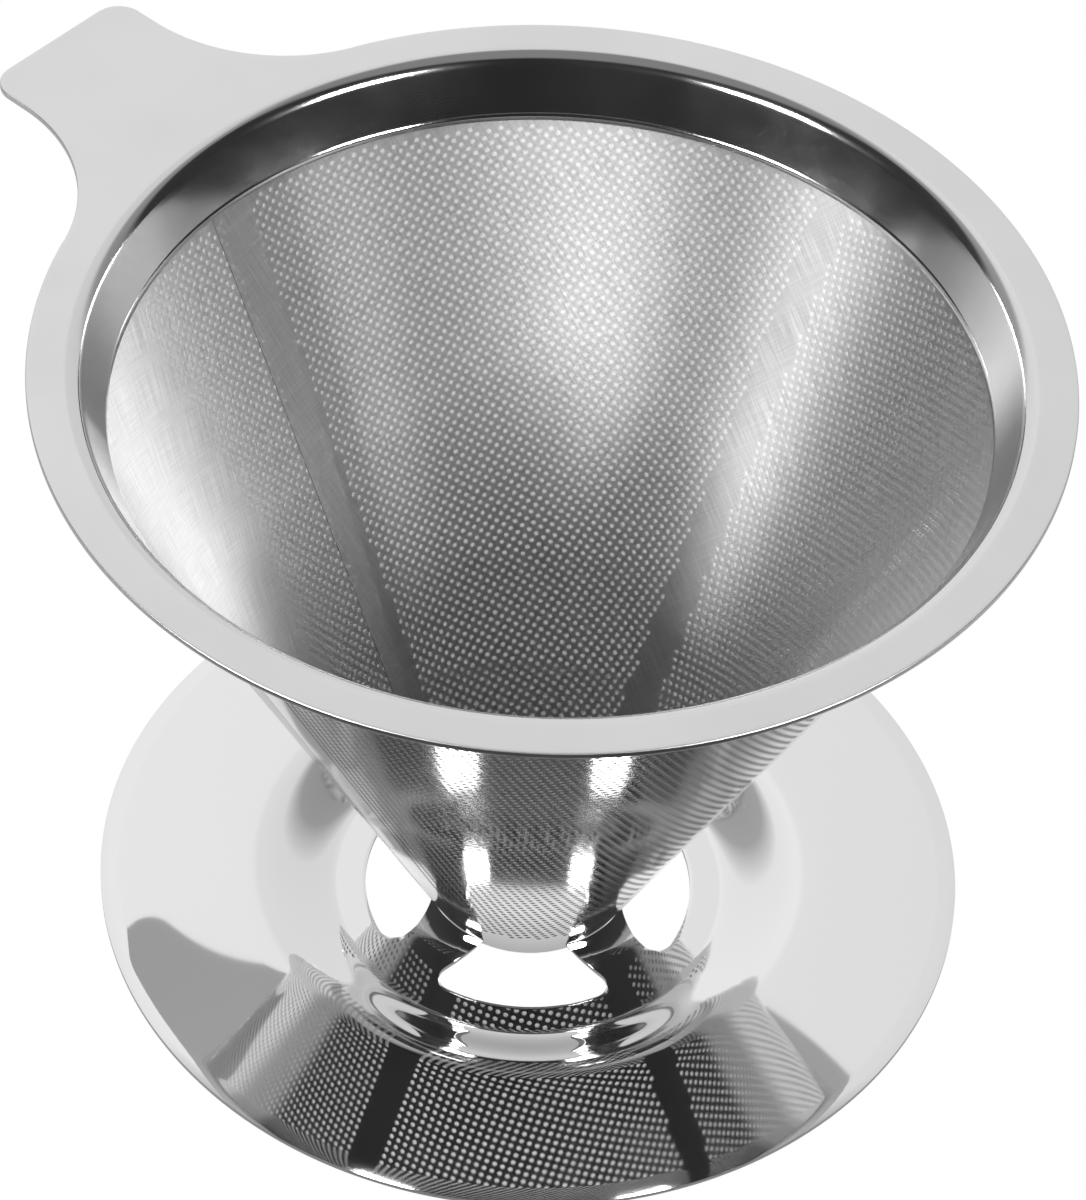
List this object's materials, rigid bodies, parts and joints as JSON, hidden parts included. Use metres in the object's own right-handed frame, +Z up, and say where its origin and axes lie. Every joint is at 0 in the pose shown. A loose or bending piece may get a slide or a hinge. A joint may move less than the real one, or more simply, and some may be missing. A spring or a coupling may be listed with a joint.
{
  "type": "pour over dripper",
  "caption": "Paperless pour over coffee dripper: a double-walled steel filter cone with a finger tab, lifting out of a windowed saucer stand.",
  "frame": {"origin": "on the cone's axis, in the plane that the stand's recessed floor rests on", "axes": "+Z up along the cone's axis; the finger tab points 140 degrees anticlockwise from +X, seen from above; one window faces -Y"},
  "size_m": [0.1335, 0.125, 0.0952],
  "materials": {
    "satin_sheet": "satin flat ring, polished collar",
    "ring_steel": "polished",
    "woven_mesh": "fine woven wire",
    "perforated_sheet": "polished, perforated",
    "tip_steel": "satin",
    "mirror_sheet": "mirror polished"
  },
  "bodies": {
    "stand": {"stand": "mirror_sheet"},
    "filter": {"rim_flange": "satin_sheet", "retaining_ring": "ring_steel", "mesh_cone": "woven_mesh", "perforated_cone": "perforated_sheet", "tip_plate": "tip_steel"}
  },
  "joints": [
    {"name": "filter_lift", "type": "slide", "parent": "stand", "child": "filter", "axis": [0, 0, 1], "range_m": [0, 0.06]}
  ]
}
